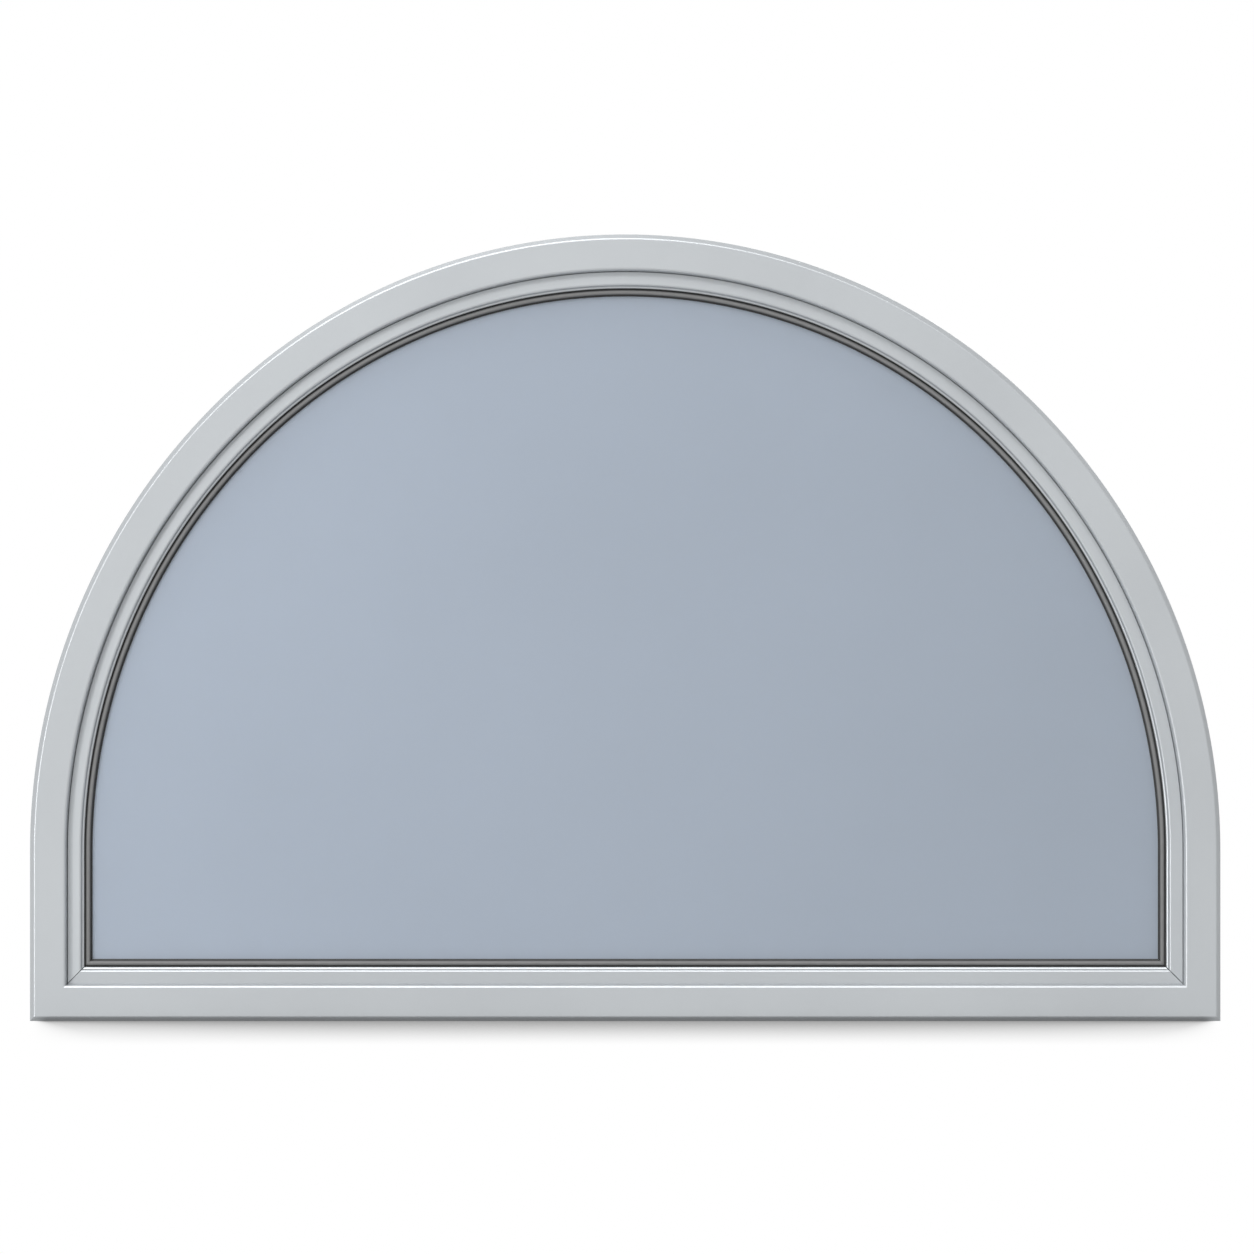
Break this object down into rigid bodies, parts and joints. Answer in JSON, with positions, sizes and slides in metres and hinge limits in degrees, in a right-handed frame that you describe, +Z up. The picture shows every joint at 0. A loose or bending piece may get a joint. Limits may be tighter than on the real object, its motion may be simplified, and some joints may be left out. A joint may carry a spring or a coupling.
{
  "type": "arched window",
  "caption": "Arched-top fixed window: hollow thermally broken metal frame with mitred sill corners, clip-on glazing beads, dark gaskets and a sealed glazing unit.",
  "frame": {"origin": "centre of the frame's underside, at mid-width and mid-depth", "axes": "+X to the right seen from outdoors, +Y from the outdoor face into the room, +Z up"},
  "size_m": [1.2, 0.07, 0.793],
  "materials": {
    "frame_metal": "satin silver-grey coating",
    "break_plastic": "matt black glass-filled polyamide",
    "gasket_rubber": "matt black, greyed on the crest",
    "pane_glass": "blue-grey, satin, hardly see-through",
    "spacer_metal": "mill finish",
    "seal_rubber": "matt black sealant",
    "block_plastic": "moulded plastic"
  },
  "bodies": {
    "root": {"outer_frame_arch": "frame_metal", "outer_frame_sill": "frame_metal", "inner_frame_arch": "frame_metal", "inner_frame_sill": "frame_metal", "rim_break_arch": "break_plastic", "rim_break_sill": "break_plastic", "rebate_break_arch": "break_plastic", "rebate_break_sill": "break_plastic", "glazing_bead_arch": "frame_metal", "glazing_bead_sill": "frame_metal", "outer_gasket_arch": "gasket_rubber", "outer_gasket_sill": "gasket_rubber", "inner_gasket_arch": "gasket_rubber", "inner_gasket_sill": "gasket_rubber", "outer_pane": "pane_glass", "inner_pane": "pane_glass", "spacer_bar": "spacer_metal", "edge_seal": "seal_rubber", "setting_block_left": "block_plastic", "setting_block_right": "block_plastic"}
  },
  "joints": []
}
